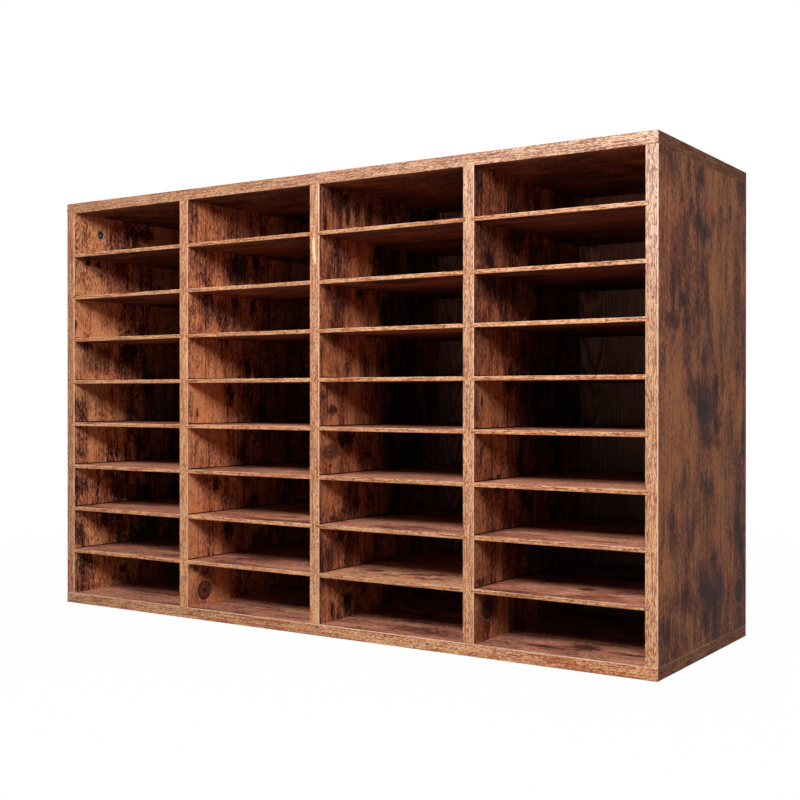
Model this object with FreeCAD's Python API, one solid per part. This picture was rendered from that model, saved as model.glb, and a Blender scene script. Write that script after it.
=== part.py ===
"""Pigeonhole mail sorter: four columns of nine compartments, with loose shelves in grooved uprights.

Millimetres. The origin is at the middle of the underside. X runs along the width, the front faces -Y,
and Z is up. Every board is a separate solid, and so are its edge bands, the fittings and the shelves.
"""

import FreeCAD, Part
import os

# Compartments
columns = 4
shelf_rows = 8
slot_width = 230.0
slot_height = 62.0
end_slot_height = 65.0
slot_depth = 316.0

# Boards
board = 16.0
shelf_thickness = 5.5
shelf_arris = 0.6
shelf_rear_gap = 1.5

# Edge bands
band = 1.0
band_arris = 0.7

# Grooves for the shelves
shelf_groove_depth = 4.0
shelf_end_gap = 0.5
shelf_play = 0.3

# Back panels and their grooves
back_thickness = 3.0
back_recess = 6.0
back_groove_depth = 5.0
back_edge_gap = 0.5
back_play = 0.2

# Places of the fittings, from the front and from the rear of an upright
fitting_setback = 57.5
dowel_setback = 98.0
fitting_play = 0.1

# Cam nuts, which lie in one face of each upright near its top
cam_drop = 28.5
cam_radius = 7.4
cam_length = 11.0
cam_recess = 2.5
cam_cross_width = 1.8
cam_cross_length = 8.5
cam_cross_depth = 0.8
cam_rim_width = 0.9
cam_rim_depth = 0.3

# Cam bolts, which stand in the underside of the top panel
bolt_thread_radius = 3.0
bolt_thread_length = 10.0
bolt_shank_radius = 3.5
bolt_shank_length = 18.0
bolt_neck_radius = 2.0
bolt_head_radius = 3.3
bolt_head_length = 5.0
bolt_bore_radius = 4.0
bolt_head_play = 0.6

# Dowels
dowel_radius = 4.0
dowel_in_panel = 10.0
dowel_in_upright = 20.0
dowel_chamfer = 1.0
dowel_end_gap = 0.8

# Screws through the bottom panel
screw_head_radius = 5.0
screw_head_length = 3.5
screw_shank_radius = 3.5
screw_shank_length = 14.0
screw_thread_radius = 3.0
screw_thread_length = 30.0
screw_recess = 0.5
screw_point_length = 3.0
screw_socket_radius = 2.3
screw_socket_depth = 2.8

# Sizes that follow
width = columns * slot_width + (columns + 1) * board
height = 2 * board + 2 * end_slot_height + (shelf_rows - 1) * slot_height + shelf_rows * shelf_thickness
depth = slot_depth + back_thickness + back_recess
left = -width / 2
right = width / 2
front = -depth / 2
rear = depth / 2
upright_bottom = board
upright_top = height - board
shelf_pitch = slot_height + shelf_thickness
upright_pitch = slot_width + board
back_front = front + slot_depth
back_rear = back_front + back_thickness
fitting_places = (front + fitting_setback, rear - fitting_setback)
dowel_places = (front + dowel_setback, rear - dowel_setback)
X_AXIS = FreeCAD.Vector(1, 0, 0)
Z_AXIS = FreeCAD.Vector(0, 0, 1)


def block(x0, x1, y0, y1, z0, z1):
    """A rectangular solid between two corners."""
    return Part.makeBox(x1 - x0, y1 - y0, z1 - z0, FreeCAD.Vector(x0, y0, z0))


def rod(radius, length, x, y, z, axis=Z_AXIS):
    """A cylinder that starts at a point and runs along an axis."""
    return Part.makeCylinder(radius, length, FreeCAD.Vector(x, y, z), axis)


def turned(profile, x, y, z):
    """A solid of revolution about the vertical: profile lists (radius, height) from one end to the other."""
    points = [FreeCAD.Vector(0, 0, profile[0][1])]
    points += [FreeCAD.Vector(radius, 0, level) for radius, level in profile]
    points += [FreeCAD.Vector(0, 0, profile[-1][1])]
    outline = Part.makePolygon(points + points[:1])
    solid = Part.Face(outline).revolve(FreeCAD.Vector(), Z_AXIS, 360)
    solid.translate(FreeCAD.Vector(x, y, z))
    return solid


def round_front(solid, radius, along):
    """The solid with its long front edges, those that run along one axis, rounded."""
    face_y = solid.BoundBox.YMin
    edges = []
    for edge in solid.Edges:
        box = edge.BoundBox
        runs = {"x": box.XLength, "z": box.ZLength}[along]
        if abs(box.YMax - face_y) < 1e-6 and runs > 1e-6:
            edges.append(edge)
    return solid.makeFillet(radius, edges)


def save(name, shape):
    """Writes one sub-part."""
    shape.exportStep(f"parts/{name}.step")


def upright_left(index):
    """The left face of an upright, counted from 0 at the left end."""
    return left + index * upright_pitch


def upright_middle(index):
    """The middle plane of an upright."""
    return upright_left(index) + board / 2


def shelf_bottom(row):
    """The underside of a shelf, with row 1 at the top."""
    return upright_top - end_slot_height - shelf_thickness - (row - 1) * shelf_pitch


def grooved_faces(index):
    """The faces of an upright that carry grooves: (x of the face, direction into the board)."""
    faces = []
    if index > 0:
        faces.append((upright_left(index), 1))
    if index < columns:
        faces.append((upright_left(index) + board, -1))
    return faces


def slab(face_x, inwards, cut_depth, y0, y1, z0, z1):
    """The block that a groove takes out of an upright's face."""
    deep = face_x + inwards * cut_depth
    return block(min(face_x, deep), max(face_x, deep), y0, y1, z0, z1)


def shelf_grooves(index):
    """All shelf grooves of an upright, from front to rear."""
    cuts = []
    for face_x, inwards in grooved_faces(index):
        for row in range(1, shelf_rows + 1):
            low = shelf_bottom(row)
            top = low + shelf_thickness + shelf_play
            cuts.append(slab(face_x, inwards, shelf_groove_depth, front, rear, low, top))
    return cuts


def back_grooves(index):
    """The upright's grooves for the back panels."""
    cuts = []
    for face_x, inwards in grooved_faces(index):
        y0 = back_front - back_play
        y1 = back_rear + back_play
        cuts.append(slab(face_x, inwards, back_groove_depth, y0, y1, upright_bottom, upright_top))
    return cuts


def cam_face(index):
    """The face of an upright that its cam nuts lie in: the inner face, or the left one on a divider."""
    if index == 0:
        return upright_left(index) + board, -1
    return upright_left(index), 1


def cam_start(index, sunk):
    """Where a cylinder starts that lies a given amount under the cam face, and its axis."""
    face_x, inwards = cam_face(index)
    return face_x + inwards * sunk, X_AXIS * inwards


def fitting_holes(index):
    """Everything bored into an upright: cam pockets, bolt bores, dowel holes and screw pilots."""
    x = upright_middle(index)
    cuts = []
    for y in fitting_places:
        start, axis = cam_start(index, 0)
        pocket = cam_recess + cam_length
        cuts.append(rod(cam_radius + fitting_play, pocket, start, y, upright_top - cam_drop, axis))
        cuts.append(rod(bolt_bore_radius, cam_drop, x, y, upright_top - cam_drop))
        in_upright = screw_recess + screw_head_length + screw_shank_length + screw_thread_length - board
        hole = screw_thread_radius + fitting_play
        cuts.append(rod(hole, in_upright + fitting_play, x, y, upright_bottom))
        step = screw_recess + screw_head_length + screw_shank_length - board
        cuts.append(rod(screw_shank_radius + fitting_play, max(step, 0) + fitting_play, x, y, upright_bottom))
    for y in dowel_places:
        deep = dowel_in_upright + dowel_end_gap
        cuts.append(rod(dowel_radius + fitting_play, deep, x, y, upright_bottom))
        cuts.append(rod(dowel_radius + fitting_play, deep, x, y, upright_top - deep))
    return cuts


def upright(index):
    """A side panel or a divider, behind its front band."""
    x = upright_left(index)
    core = block(x, x + board, front + band, rear, upright_bottom, upright_top)
    return core.cut(shelf_grooves(index) + back_grooves(index) + fitting_holes(index))


def upright_band(index):
    """The front band of an upright, notched by the shelf grooves."""
    x = upright_left(index)
    strip = block(x, x + board, front, front + band, upright_bottom, upright_top)
    return round_front(strip, band_arris, "z").cut(shelf_grooves(index))


def panel_core(z0):
    """The top or bottom panel between its bands."""
    return block(left + band, right - band, front + band, rear, z0, z0 + board)


def panel_back_groove(z0, z1):
    """The groove that a panel holds the back panels in, stopped short of its ends."""
    x0 = left + board - back_groove_depth
    return block(x0, -x0, back_front - back_play, back_rear + back_play, z0, z1)


def panel_dowel_holes(z0):
    """The dowel holes of a panel, starting at a height."""
    deep = dowel_in_panel + dowel_end_gap
    places = [(upright_middle(i), y) for i in range(columns + 1) for y in dowel_places]
    return [rod(dowel_radius + fitting_play, deep, x, y, z0) for x, y in places]


def top_panel():
    """The panel over the uprights, with threaded holes for the cam bolts."""
    groove = panel_back_groove(upright_top, upright_top + back_groove_depth)
    cuts = [groove] + panel_dowel_holes(upright_top)
    deep = bolt_thread_length + fitting_play
    for index in range(columns + 1):
        for y in fitting_places:
            x = upright_middle(index)
            cuts.append(rod(bolt_thread_radius + fitting_play, deep, x, y, upright_top))
    return panel_core(upright_top).cut(cuts)


def bottom_panel():
    """The panel under the uprights, with counterbored screw holes."""
    groove = panel_back_groove(board - back_groove_depth, board)
    cuts = [groove] + panel_dowel_holes(board - dowel_in_panel - dowel_end_gap)
    for index in range(columns + 1):
        for y in fitting_places:
            x = upright_middle(index)
            cuts.append(rod(screw_shank_radius + fitting_play, board, x, y, 0))
            head = screw_recess + screw_head_length
            cuts.append(rod(screw_head_radius + fitting_play, head, x, y, 0))
    return panel_core(0).cut(cuts)


def panel_front_band(z0):
    """The front band of the top or bottom panel, over its full width."""
    strip = block(left, right, front, front + band, z0, z0 + board)
    return round_front(strip, band_arris, "x")


def panel_end_bands(z0):
    """The bands on the two ends of the top or bottom panel."""
    pair = []
    for x0, outer in ((left, left), (right - band, right)):
        strip = block(x0, x0 + band, front + band, rear, z0, z0 + board)
        edges = [e for e in strip.Edges if abs(e.BoundBox.XMin - outer) < 1e-6
                 and abs(e.BoundBox.XMax - outer) < 1e-6 and e.BoundBox.YLength > 1e-6]
        pair.append(strip.makeFillet(band_arris, edges))
    return Part.makeCompound(pair)


def shelf(column, row):
    """A loose shelf, its ends in the grooves and its front edge flush with the bands."""
    reach = shelf_groove_depth - shelf_end_gap
    x0 = upright_left(column - 1) + board - reach
    x1 = upright_left(column) + reach
    z0 = shelf_bottom(row)
    plate = block(x0, x1, front, back_front - shelf_rear_gap, z0, z0 + shelf_thickness)
    return round_front(plate, shelf_arris, "x")


def back_panel(column):
    """The back of one column, standing in the bottom panel's groove."""
    reach = back_groove_depth - back_edge_gap
    x0 = upright_left(column - 1) + board - reach
    x1 = upright_left(column) + reach
    z0 = upright_bottom - back_groove_depth
    return block(x0, x1, back_front, back_rear, z0, upright_top + reach)


def cam_nut(index, y):
    """A cam nut: a disc with a raised rim and a cross, hollowed for the head of its bolt."""
    start, axis = cam_start(index, cam_recess)
    z = upright_top - cam_drop
    disc = rod(cam_radius, cam_length, start, y, z, axis)
    inner = rod(cam_radius - cam_rim_width, cam_rim_depth, start, y, z, axis)
    reach = cam_rim_depth + cam_cross_depth
    x0 = min(start, start + axis.x * reach)
    x1 = max(start, start + axis.x * reach)
    half = cam_cross_length / 2
    slot = cam_cross_width / 2
    cross = [block(x0, x1, y - half, y + half, z - slot, z + slot),
             block(x0, x1, y - slot, y + slot, z - half, z + half)]
    middle = upright_middle(index)
    room = bolt_head_radius + bolt_head_play
    end = start + axis.x * cam_length
    floor = z - bolt_head_length / 2 - bolt_head_play
    well = block(min(middle, end), max(middle, end), y - room, y + room, floor, z + cam_radius)
    bore = rod(room, z + cam_radius - floor, middle, y, floor)
    return disc.cut([inner] + cross + [well, bore])


def cam_bolt(index, y):
    """A cam bolt: its thread in the top panel, its head in the middle of the cam nut."""
    head_top = -cam_drop + bolt_head_length / 2
    bevel = bolt_head_radius - bolt_neck_radius
    profile = [
        (bolt_neck_radius, head_top - bolt_head_length),
        (bolt_head_radius, head_top - bolt_head_length + bevel),
        (bolt_head_radius, head_top - bevel / 2),
        (bolt_neck_radius, head_top),
        (bolt_neck_radius, -bolt_shank_length - bevel),
        (bolt_shank_radius, -bolt_shank_length),
        (bolt_shank_radius, 0),
        (bolt_thread_radius, 0),
        (bolt_thread_radius, bolt_thread_length),
    ]
    return turned(profile, upright_middle(index), y, upright_top)


def dowel(x, y, z0):
    """A dowel with chamfered ends, between a panel and an upright."""
    length = dowel_in_panel + dowel_in_upright
    tip = dowel_radius - dowel_chamfer
    profile = [(tip, 0), (dowel_radius, dowel_chamfer), (dowel_radius, length - dowel_chamfer), (tip, length)]
    return turned(profile, x, y, z0)


def bottom_screw(index, y):
    """A connecting screw with a hexagon socket, its head sunk in the bottom panel."""
    head_top = screw_recess + screw_head_length
    shank_top = head_top + screw_shank_length
    tip = shank_top + screw_thread_length
    profile = [
        (screw_head_radius, screw_recess),
        (screw_head_radius, head_top),
        (screw_shank_radius, head_top),
        (screw_shank_radius, shank_top),
        (screw_thread_radius, shank_top),
        (screw_thread_radius, tip - screw_point_length),
        (screw_thread_radius / 4, tip),
    ]
    x = upright_middle(index)
    solid = turned(profile, x, y, 0)
    base = FreeCAD.Vector(x, y, screw_recess)
    circle = Part.makePolygon(hexagon(base, screw_socket_radius))
    socket = Part.Face(circle).extrude(Z_AXIS * screw_socket_depth)
    return solid.cut(socket)


def hexagon(centre, radius):
    """The closed ring of a hexagon's corners about a point."""
    spoke = FreeCAD.Vector(radius, 0, 0)
    turns = [FreeCAD.Rotation(Z_AXIS, 60 * step) for step in range(7)]
    return [centre + turn.multVec(spoke) for turn in turns]


def fittings(make):
    """One group of fittings: a copy at each fitting place of each upright."""
    return Part.makeCompound([make(index, y) for index in range(columns + 1) for y in fitting_places])


def dowels():
    """All dowels: two at each end of each upright."""
    group = []
    for index in range(columns + 1):
        for y in dowel_places:
            group.append(dowel(upright_middle(index), y, upright_bottom - dowel_in_panel))
            group.append(dowel(upright_middle(index), y, upright_top - dowel_in_upright))
    return Part.makeCompound(group)


def upright_name(index):
    """The name of an upright, from left to right."""
    if index == 0:
        return "left_side"
    if index == columns:
        return "right_side"
    return f"divider_{index}"


def build():
    """Writes every sub-part."""
    os.makedirs("parts", exist_ok=True)
    save("top_panel", top_panel())
    save("bottom_panel", bottom_panel())
    save("top_front_band", panel_front_band(upright_top))
    save("bottom_front_band", panel_front_band(0))
    save("top_end_bands", panel_end_bands(upright_top))
    save("bottom_end_bands", panel_end_bands(0))
    for index in range(columns + 1):
        save(upright_name(index), upright(index))
        save(f"{upright_name(index)}_front_band", upright_band(index))
    for column in range(1, columns + 1):
        save(f"back_panel_c{column}", back_panel(column))
        for row in range(1, shelf_rows + 1):
            save(f"shelf_c{column}_r{row}", shelf(column, row))
    save("cam_nuts", fittings(cam_nut))
    save("cam_bolts", fittings(cam_bolt))
    save("wooden_dowels", dowels())
    save("bottom_screws", fittings(bottom_screw))


build()
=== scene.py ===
"""Looks of the pigeonhole mail sorter: laminate, edge bands, back panels, fittings and the stage.

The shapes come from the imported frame. Each operator dresses one group of like pieces.
Metres throughout. X runs along the width, the open front faces -Y, and Z is up.
"""

import math
import random

import bpy
from bpy.props import FloatProperty, FloatVectorProperty, PointerProperty
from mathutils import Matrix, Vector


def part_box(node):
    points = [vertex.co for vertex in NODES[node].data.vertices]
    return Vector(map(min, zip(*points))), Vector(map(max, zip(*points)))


bl_info = {
    "name": "Pigeonhole Mail Sorter",
    "version": (1, 0, 0),
    "blender": (4, 5, 0),
    "location": "3D View > Sidebar > Sorter",
    "description": "Dresses the boards, bands, shelves and fittings of a pigeonhole mail sorter",
    "category": "Object",
}

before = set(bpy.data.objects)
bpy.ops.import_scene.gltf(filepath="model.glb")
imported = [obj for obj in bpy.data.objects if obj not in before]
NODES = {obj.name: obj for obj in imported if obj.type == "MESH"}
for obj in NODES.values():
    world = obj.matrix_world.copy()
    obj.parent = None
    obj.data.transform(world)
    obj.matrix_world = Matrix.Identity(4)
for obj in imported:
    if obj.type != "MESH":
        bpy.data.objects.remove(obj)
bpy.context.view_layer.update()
BOX = {name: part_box(name) for name in NODES}

UPRIGHTS = ["left_side", "divider_1", "divider_2", "divider_3", "right_side"]
BACKS = [f"back_panel_c{column}" for column in range(1, 5)]
SHELVES = [f"shelf_c{column}_r{row}" for column in range(1, 5) for row in range(1, 9)]

MM = 0.001
FRONT = BOX["left_side_front_band"][0].y
BAND = BOX["left_side_front_band"][1].y - FRONT
SKIN = 0.15 * MM


# ---------------------------------------------------------------------------------------------
# Settings


def colour_setting(name, description, default):
    """A colour that a user may change, as linear red, green and blue."""
    return FloatVectorProperty(
        name=name, description=description, default=default, subtype="COLOR", size=3, min=0, max=1
    )


def length_setting(name, description, default):
    """A length that a user may change, in metres."""
    return FloatProperty(
        name=name, description=description, default=default, unit="LENGTH", precision=5
    )


def angle_setting(name, description, degrees):
    """An angle that a user may change, given in degrees."""
    turn = math.radians(degrees)
    return FloatProperty(
        name=name, description=description, default=turn, subtype="ANGLE", precision=4
    )


def share_setting(name, description, default):
    """A share between nothing and all that a user may change."""
    return FloatProperty(
        name=name, description=description, default=default, subtype="FACTOR", min=0, max=1
    )


def power_setting(name, description, default):
    """The power of a lamp that a user may change."""
    return FloatProperty(name=name, description=description, default=default, unit="POWER")


class LaminateSettings(bpy.types.PropertyGroup):
    """The printed brown laminate of boards and shelves."""

    honey: colour_setting("Honey", "Lightest tone of the boards", (0.88, 0.345, 0.148))
    amber: colour_setting("Amber", "Light tone of the boards", (0.57, 0.188, 0.086))
    walnut: colour_setting("Walnut", "Middle tone of the boards", (0.215, 0.070, 0.046))
    umber: colour_setting("Umber", "Strokes, seams and pores", (0.028, 0.012, 0.010))
    straw: colour_setting("Straw", "Lightest tone of the shelves", (0.95, 0.425, 0.255))
    fawn: colour_setting("Fawn", "Light tone of the shelves", (0.75, 0.285, 0.175))
    hazel: colour_setting("Hazel", "Middle tone of the shelves", (0.42, 0.142, 0.092))
    smoke: colour_setting("Smoke", "Soft dark patches and knots", (0.044, 0.019, 0.013))
    chip: colour_setting("Chip", "Chipboard under the laminate", (0.60, 0.43, 0.27))
    gloss: share_setting("Roughness", "Roughness of the satin surface", 0.50)
    relief: length_setting("Relief", "Depth of the embossed pores", 0.00025)


class BandSettings(bpy.types.PropertyGroup):
    """The lighter edge bands on the fronts and ends."""

    tan: colour_setting("Tan", "Ground tone of the band", (0.775, 0.418, 0.205))
    rust: colour_setting("Rust", "Darker clouds in the band", (0.48, 0.158, 0.062))
    fleck: colour_setting("Fleck", "Short dark strokes", (0.21, 0.040, 0.014))
    # The pale edge line: partly a paler scraped edge, partly a painted highlight where the edge
    # faces the lamps.
    arris_highlight: colour_setting("Cream", "Rounded edge of the band", (0.90, 0.64, 0.46))
    bare: colour_setting("Bare", "Where the band is worn through", (0.98, 0.69, 0.32))
    gloss: share_setting("Roughness", "Roughness of the band", 0.36)
    relief: length_setting("Relief", "Depth of the strokes", 0.00015)


class BackSettings(bpy.types.PropertyGroup):
    """The thin back panels."""

    face: colour_setting("Face", "Ground tone of the back", (0.95, 0.56, 0.39))
    grain: colour_setting("Grain", "Dark lines of the back", (0.25, 0.115, 0.072))
    fibre: colour_setting("Fibre", "Raw fibreboard edge and rear", (0.47, 0.285, 0.155))
    gloss: share_setting("Roughness", "Roughness of the back", 0.55)


class FittingSettings(bpy.types.PropertyGroup):
    """Cam nuts, bolts, screws and dowels."""

    zinc: colour_setting("Zinc", "Dull die-cast cam nuts", (0.030, 0.028, 0.036))
    # The rim's brightness is partly a painted highlight, as if it caught the light.
    rim: colour_setting("Rim", "Bright rim and cross of the cam nuts", (0.72, 0.672, 0.864))
    steel: colour_setting("Steel", "Plated bolts and screws", (0.62, 0.61, 0.58))
    beech: colour_setting("Beech", "Wooden dowels", (0.66, 0.46, 0.28))


class StudioSettings(bpy.types.PropertyGroup):
    """Camera, lamps, floor and background."""

    camera_place: FloatVectorProperty(
        name="Camera place", description="Where the camera stands", unit="LENGTH", size=3,
        default=(1.0248, -1.5006, 0.3305), precision=4,
    )
    camera_pan: angle_setting("Pan", "Turn to the left of straight ahead", 33.414)
    camera_tilt: angle_setting("Tilt", "Angle above the horizon", -0.153)
    camera_roll: angle_setting("Roll", "Turn about the line of sight", -0.022)
    camera_lens: FloatProperty(
        name="Lens", description="Focal length in millimetres", default=54.66, min=1
    )
    key_power: power_setting("Key power", "Lamp at the right", 37.5)
    glint_power: power_setting("Glint power", "Sheen at the top right", 17.0)
    side_power: power_setting("Side power", "Lamp at the left", 7.6)
    rear_power: power_setting("Rear power", "Lamp behind the sorter", 20.0)
    glow: share_setting("Glow", "Light from all round", 0.05)
    floor_tone: share_setting("Floor", "Paleness of the floor", 0.25)
    floor_lift: share_setting("Floor lift", "How white the camera sees the floor", 0.985)


# ---------------------------------------------------------------------------------------------
# Shader arithmetic


class Wire:
    """One output socket of a material's nodes, on which arithmetic adds Math nodes."""

    def __init__(self, socket):
        self.socket = socket

    def node(self, kind, settings=None, sockets=None, output=0):
        """Adds a node beside this socket: its settings first, then its sockets' values or links."""
        made = self.socket.id_data.nodes.new(kind)
        for name, value in (settings or {}).items():
            if name == "stops":
                fill_ramp(made.color_ramp, value)
            else:
                setattr(made, name, value)
        fill_sockets(made, sockets or {})
        return Wire(made.outputs[output])

    def output(self, name):
        """Another output of the same node."""
        return Wire(self.socket.node.outputs[name])

    def math(self, operation, *values):
        """A Math node on numbers and sockets."""
        return self.node("ShaderNodeMath", {"operation": operation}, dict(enumerate(values)))

    def __add__(self, other):
        return self.math("ADD", self, other)

    def __radd__(self, other):
        return self.math("ADD", other, self)

    def __sub__(self, other):
        return self.math("SUBTRACT", self, other)

    def __rsub__(self, other):
        return self.math("SUBTRACT", other, self)

    def __mul__(self, other):
        return self.math("MULTIPLY", self, other)

    def __rmul__(self, other):
        return self.math("MULTIPLY", other, self)

    def __truediv__(self, other):
        return self.math("DIVIDE", self, other)

    def __abs__(self):
        return self.math("ABSOLUTE", self)

    def at_least(self, other):
        """The larger of two values."""
        return self.math("MAXIMUM", self, other)

    def at_most(self, other):
        """The smaller of two values."""
        return self.math("MINIMUM", self, other)

    def above(self, limit):
        """One where the value is over a limit, otherwise nothing."""
        return self.math("GREATER_THAN", self, limit)

    def below(self, limit):
        """One where the value is under a limit, otherwise nothing."""
        return self.math("LESS_THAN", self, limit)

    def length(self):
        """The length of a vector."""
        return self.node("ShaderNodeVectorMath", {"operation": "LENGTH"}, {0: self}, "Value")

    def fraction(self):
        """What a value has over its whole number."""
        return self.math("FRACT", self)

    def fade(self, start, end):
        """Rises smoothly from nothing at start to one at end, or falls where end is the lower."""
        low, high = min(start, end), max(start, end)
        ends = {3: 0.0, 4: 1.0} if start <= end else {3: 1.0, 4: 0.0}
        return self.node(
            "ShaderNodeMapRange",
            {"interpolation_type": "SMOOTHSTEP"},
            {0: self, 1: low, 2: high, **ends},
        )

    def between(self, low, high):
        """A value from nothing to one turned into one from low to high."""
        return self * (high - low) + low


def fill_sockets(node, values):
    """Gives sockets of a node their values or links."""
    for name, value in values.items():
        if isinstance(value, Wire):
            node.id_data.links.new(value.socket, node.inputs[name])
        else:
            node.inputs[name].default_value = value


def fill_ramp(ramp, stops):
    """Puts (place, colour) stops on a colour ramp."""
    while len(ramp.elements) < len(stops):
        ramp.elements.new(1.0)
    for element, (place, colour) in zip(ramp.elements, stops):
        element.position = place
        element.color = (*colour, 1.0)


def mix(factor, first, second, blend="MIX"):
    """Mixes two colours, each a socket or three numbers. The factor is a socket or a number."""
    host = next(value for value in (factor, first, second) if isinstance(value, Wire))
    values = [value if isinstance(value, Wire) else (*value, 1.0) for value in (first, second)]
    settings = {"data_type": "RGBA", "blend_type": blend}
    return host.node("ShaderNodeMix", settings, {0: factor, 6: values[0], 7: values[1]}, output=2)


def new_material(name):
    """A material, and the object coordinates to build its look on."""
    material = bpy.data.materials.new(name)
    material.use_nodes = True
    shader = material.node_tree.nodes["Principled BSDF"]
    return material, Wire(shader.outputs[0]).node("ShaderNodeTexCoord", output="Object")


def finish_material(material, colour, roughness, height, relief, sheen=0.5, metallic=0.0):
    """Gives a material's shader its colour, roughness, gloss and relief."""
    bump = {"Strength": 1.0, "Distance": relief, "Height": height}
    finish = {
        "Base Color": colour,
        "Roughness": roughness,
        "Metallic": metallic,
        "Specular IOR Level": sheen,
        "Normal": height.node("ShaderNodeBump", None, bump),
    }
    fill_sockets(material.node_tree.nodes["Principled BSDF"], finish)
    return material


def extent(box, axis):
    """Where a box begins and ends along an axis."""
    index = "XYZ".index(axis)
    return box[0][index], box[1][index]


def turned(place, axes):
    """Object coordinates as (across the grain, through the board, along the grain)."""
    parts = place.node("ShaderNodeSeparateXYZ", None, {0: place})
    return [parts.output(axis) for axis in axes]


def wood_vector(across, through, along):
    """Three coordinates joined to a vector again."""
    return along.node("ShaderNodeCombineXYZ", None, {0: across, 1: through, 2: along})


def stretched(wood, scale, shift):
    """Wood coordinates times a scale for each direction, plus a shift for each."""
    return wood.node(
        "ShaderNodeVectorMath", {"operation": "MULTIPLY_ADD"}, {0: wood, 1: scale, 2: shift}
    )


def noise(wood, scale, shift, detail=3.0, rough=0.55, curl=0.0):
    """Noise stretched along the grain, about one half in the mean."""
    sockets = {
        "Vector": stretched(wood, scale, (shift, shift, shift)),
        "Scale": 1.0,
        "Detail": detail,
        "Roughness": rough,
        "Distortion": curl,
    }
    return wood.node("ShaderNodeTexNoise", None, sockets)


def spot_distance(wood, centre, reach):
    """Distance from a point of a face, one at an ellipse about it, and the offset behind it."""
    scale = (1 / reach[0], 0.0, 1 / reach[1])
    shift = (-centre[0] / reach[0], 0.0, -centre[1] / reach[1])
    offset = stretched(wood, scale, shift)
    return offset.length(), offset


# ---------------------------------------------------------------------------------------------
# Prints

# Where the four tones of a palette lie on the scale of a print, from dark to light.
TONE_PLACES = (0.06, 0.36, 0.64, 0.94)
# What the tone of a print is where a board's own tone doesn't say.
PLAIN_TONE = {"lift": 0.0, "distress": 0.35, "fine": 1.0, "contrast": 1.0, "sheen": 0.10}
# The distances between which a mark's edge fades, one being the ellipse about it.
SPOT_EDGES = {"patch": (1.3, 0.5), "cloud": (1.5, 0.3)}
# Each ring of a knot: its distance and how dark it is.
KNOT_RINGS = ((1.0, 0.92), (0.72, 0.80), (1.40, 0.30), (1.80, 0.25))
# How many contour lines the figure of curled grain has.
CURL_LINES = 17
# The noises of the laminate: scale across, through and along, shift, detail, roughness, curl.
LAMINATE_NOISE = {
    "plank": ((21, 50, 0.7), 1.7, 0.0, 0.55, 0.0),
    "broad": ((8, 40, 4), 0.0, 2, 0.55, 0.5),
    "cloud": ((30, 60, 13), 3.3, 6, 0.66, 0.6),
    "streak": ((300, 60, 15), 5.9, 3, 0.6, 0.0),
    "grain": ((400, 90, 150), 7.1, 4, 0.72, 0.0),
    "dash": ((450, 90, 150), 13.7, 3, 0.6, 0.0),
    "pore": ((900, 120, 240), 11.9, 2, 0.6, 0.0),
    "grime": ((15, 60, 9), 17.3, 6, 0.7, 0.8),
}


def soft_spot(wood, ragged, centre, reach, edges=SPOT_EDGES["patch"]):
    """A patch about a point of the face, whose edge fades between two distances and is torn."""
    length, _ = spot_distance(wood, centre, reach)
    return (length + ragged).fade(*edges)


def knot_spot(wood, ragged, centre, reach):
    """A knot: a dusky disc with faint rings in it, a darker rim and a dark heart."""
    length, _ = spot_distance(wood, centre, reach)
    worn = length + ragged
    disc = worn.fade(1.15, 0.90) * 0.60
    heart = worn.fade(0.50, 0.24) * 0.98
    spot = disc.at_least(heart)
    for radius, depth in KNOT_RINGS:
        spot = spot.at_least(abs(worn - radius).fade(0.11, 0.03) * depth)
    return spot


def flow_round(wood, across, knots):
    """The coordinate across the grain, bent so that the grain flows round each knot."""
    for _, centre, reach, _ in knots:
        length, offset = spot_distance(wood, centre, reach)
        aside = offset.node("ShaderNodeSeparateXYZ", None, {0: offset})
        across = across - aside * length.fade(2.6, 0.4) * (reach[0] * 0.6)
    return across


def curled_lines(wood, shift):
    """Thin dark lines that curl like figured grain: contour lines of a slow noise."""
    slope = noise(wood, (36, 10, 11), shift, detail=1.5, rough=0.4, curl=0.5) * CURL_LINES
    return abs(slope.fraction() - 0.5).fade(0.26, 0.03)


def chipboard(wood):
    """Raw chipboard: pale flat chips with darker ones between them."""
    look = bpy.context.scene.sorter_laminate
    chips = noise(wood, (420, 420, 420), 3.1, detail=4, rough=0.7)
    coarse = noise(wood, (150, 150, 150), 8.4, detail=2)
    tint = (chips * 0.7 + coarse * 0.3).fade(0.38, 0.64)
    return mix(tint, shaded(look.chip, 0.45), look.chip)


def raw_core(through, low, high):
    """One inside a board, and nothing in the skin of laminate on its two faces."""
    return abs(through - (low + high) / 2).below((high - low) / 2 - SKIN)


def shaded(colour, share):
    """A colour made lighter or darker."""
    return tuple(min(1.0, channel * share) for channel in colour)


def board_palette(look, share=1.0):
    """The tones of a board's print, from its darkest to its lightest."""
    return [shaded(colour, share) for colour in (look.umber, look.walnut, look.amber, look.honey)]


def shelf_palette(look, share=1.0):
    """The tones of a shelf's print, which is paler and less red."""
    return [shaded(colour, share) for colour in (look.umber, look.hazel, look.fawn, look.straw)]


def warm_palette(look):
    """The tones of the two shelves whose print lies between the shelves' and the boards'."""
    pairs = zip(shelf_palette(look, 1.3), board_palette(look, 1.6))
    return [tuple((pale + rich) / 2 for pale, rich in zip(*pair)) for pair in pairs]


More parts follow.
